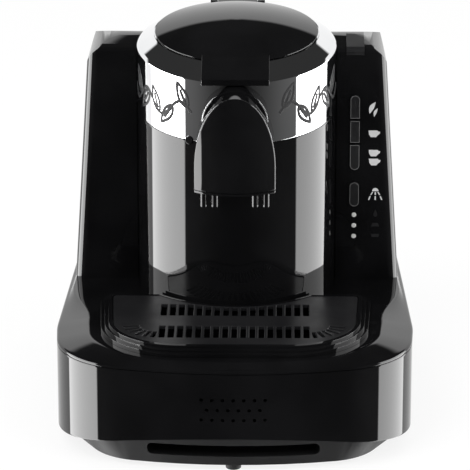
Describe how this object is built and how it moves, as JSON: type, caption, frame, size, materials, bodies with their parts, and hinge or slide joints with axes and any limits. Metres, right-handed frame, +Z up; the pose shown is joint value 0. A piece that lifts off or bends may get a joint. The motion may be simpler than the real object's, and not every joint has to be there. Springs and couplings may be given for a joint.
{
  "type": "electric turkish coffee maker",
  "caption": "Electric Turkish coffee maker with a fixed brewing pot under a hinged lid, a spout over a lift-out drip tray, side buttons, and a lift-off water tank behind.",
  "frame": {"origin": "middle of the footprint, on the surface that the machine stands on", "axes": "+Z is up, +X is the right-hand side seen from the front, -Y is the front"},
  "size_m": [0.2446, 0.27, 0.2712],
  "materials": {
    "gloss_black": "high gloss moulded ABS",
    "satin_black": "satin moulded plastic",
    "matte_black": "fine matte texture",
    "smoke_tank": "smoke-tinted clear plastic",
    "collar_chrome": "bright chrome with a fine relief line",
    "bright_steel": "drawn stainless steel",
    "screw_steel": "zinc plated",
    "cast_aluminium": "as cast",
    "button_grey": "satin, with printed pictograms",
    "lens_white": "frosted light pipe",
    "rubber_black": "matte rubber",
    "silicone": "translucent food-grade silicone",
    "seal_red": "silicone seal",
    "board_green": "solder mask over glass fibre",
    "part_dark": "moulded component",
    "part_pale": "unpainted nylon",
    "motor_steel": "drawn motor can",
    "impeller_brass": "turned brass",
    "rocker_red": "gloss rocker",
    "ribbon_grey": "ribbon cable"
  },
  "bodies": {
    "base": {"bottom_chassis": "matte_black", "rubber_feet": "rubber_black", "base_body": "gloss_black", "rear_panel": "gloss_black", "base_deck": "gloss_black", "chassis_screws": "screw_steel", "buzzer": "part_dark", "power_board": "board_green", "power_switch_frame": "satin_black", "cord_gland": "matte_black", "pump_cradle": "part_dark", "pump_housing": "part_pale", "pump_motor": "motor_steel", "pump_inlet_hose": "silicone", "pump_outlet_hose": "silicone", "fill_elbow": "part_pale", "inlet_socket": "part_dark", "socket_seal": "seal_red", "column_shell": "gloss_black", "pot_carrier": "part_dark", "pot_heater": "cast_aluminium", "thermostat": "part_pale", "brew_pot": "bright_steel", "outlet_valve": "part_dark", "coffee_tube": "bright_steel", "chrome_collar": "collar_chrome", "collar_stud": "gloss_black", "lid_hinge_pin": "bright_steel", "spout_neck": "gloss_black", "spout_cover": "gloss_black", "spout_manifold": "satin_black", "nozzles": "gloss_black", "housing_front": "gloss_black", "control_board": "board_green", "tact_switches": "part_dark", "board_screws": "screw_steel", "indicator_lenses": "lens_white", "indicator_leds": "lens_white", "ribbon_cable": "ribbon_grey"},
    "lid": {"lid": "gloss_black", "lid_inner_plate": "bright_steel", "lid_gasket": "silicone"},
    "tank": {"water_tank": "smoke_tank", "tank_handle": "satin_black", "tank_hinge_pin": "bright_steel", "tank_valve": "part_pale", "valve_spring": "bright_steel"},
    "tank_cover": {"tank_lid": "gloss_black", "tank_lid_tab": "satin_black"},
    "plunger": {"valve_plunger": "seal_red"},
    "tray": {"drip_tray": "gloss_black"},
    "grille": {"drip_grille": "satin_black"},
    "roast_key": {"roast_button": "button_grey"},
    "one_cup_key": {"one_cup_button": "button_grey"},
    "two_cup_key": {"two_cup_button": "button_grey"},
    "rinse_key": {"rinse_button": "button_grey"},
    "mains_rocker": {"power_rocker": "rocker_red"},
    "impeller": {"pump_impeller": "impeller_brass"}
  },
  "joints": [
    {"name": "lid_hinge", "type": "hinge", "parent": "base", "child": "lid", "pos_m": [0, 0.0995, 0.26398], "axis": [-1, 0, 0], "range_deg": [0, 88]},
    {"name": "tank_lift", "type": "slide", "parent": "base", "child": "tank", "axis": [0, 0, 1], "range_m": [0, 0.31]},
    {"name": "tank_cover_hinge", "type": "hinge", "parent": "tank", "child": "tank_cover", "pos_m": [0, 0.126, 0.23208], "axis": [-1, 0, 0], "range_deg": [0, 70]},
    {"name": "valve_travel", "type": "slide", "parent": "tank", "child": "plunger", "axis": [0, 0, -1], "range_m": [0, 0.0025], "deforming": ["valve_spring"]},
    {"name": "tray_lift", "type": "slide", "parent": "base", "child": "tray", "axis": [0, 0, 1], "range_m": [0, 0.03]},
    {"name": "grille_lift", "type": "slide", "parent": "tray", "child": "grille", "axis": [0, 0, 1], "range_m": [0, 0.02]},
    {"name": "roast_press", "type": "slide", "parent": "base", "child": "roast_key", "axis": [0, 1, 0], "range_m": [0, 0.0012], "stiffness_N_per_m": 300},
    {"name": "one_cup_press", "type": "slide", "parent": "base", "child": "one_cup_key", "axis": [0, 1, 0], "range_m": [0, 0.0012], "stiffness_N_per_m": 300},
    {"name": "two_cup_press", "type": "slide", "parent": "base", "child": "two_cup_key", "axis": [0, 1, 0], "range_m": [0, 0.0012], "stiffness_N_per_m": 300},
    {"name": "rinse_press", "type": "slide", "parent": "base", "child": "rinse_key", "axis": [0, 1, 0], "range_m": [0, 0.0012], "stiffness_N_per_m": 300},
    {"name": "mains_switch", "type": "hinge", "parent": "base", "child": "mains_rocker", "pos_m": [-0.066, 0.127, 0.044], "axis": [-1, 0, 0], "range_deg": [0, 16]},
    {"name": "pump_spin", "type": "hinge", "parent": "base", "child": "impeller", "pos_m": [-0.03, 0.085, 0.03], "axis": [0, 1, 0], "continuous": true}
  ],
  "couplings": [
    {"joint": "valve_travel", "follows": "tank_lift", "ratio": 0.008065}
  ]
}
